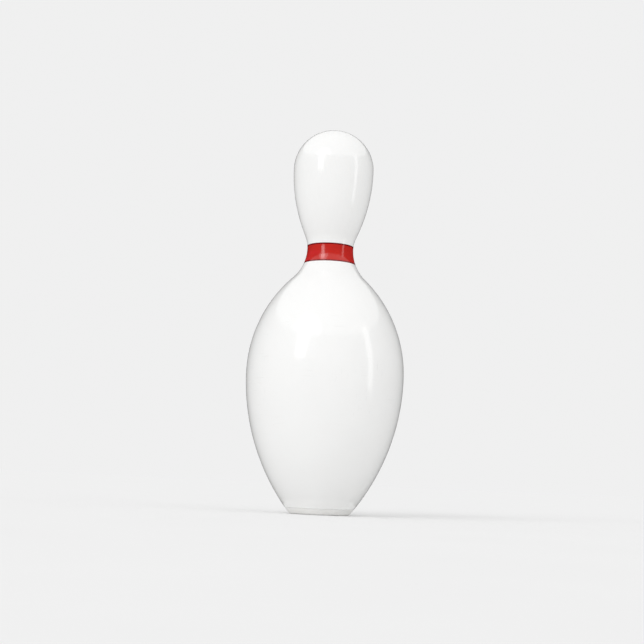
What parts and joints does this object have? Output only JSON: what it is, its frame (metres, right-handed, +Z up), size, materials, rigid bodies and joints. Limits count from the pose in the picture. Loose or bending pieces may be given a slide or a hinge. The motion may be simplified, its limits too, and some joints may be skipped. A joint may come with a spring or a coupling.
{
  "type": "bowling pin",
  "caption": "Turned pin with a full belly, narrow neck and round head: glued maple core, nylon base ring, white plastic jacket and a red neck band.",
  "frame": {"origin": "centre of the foot, on the surface that the pin stands on", "axes": "+Z up along the pin's axis; -Y is the front and +X is to its right"},
  "size_m": [0.1544, 0.1544, 0.381],
  "materials": {
    "white_jacket": "clear gloss lacquer",
    "red_band": "clear gloss lacquer",
    "dark_line": "clear gloss lacquer",
    "base_nylon": "moulded satin",
    "maple": "turned and sanded, bare"
  },
  "bodies": {
    "root": {"jacket": "white_jacket", "neck_band": "red_band", "band_line_top": "dark_line", "band_line_bottom": "dark_line", "base_ring": "base_nylon", "core_board_left": "maple", "core_board_middle": "maple", "core_board_right": "maple", "inner_slab_left": "maple", "inner_slab_right": "maple", "inner_slab_front": "maple", "inner_slab_back": "maple", "outer_slab_left": "maple", "outer_slab_right": "maple", "outer_slab_front": "maple", "outer_slab_back": "maple"}
  },
  "joints": []
}
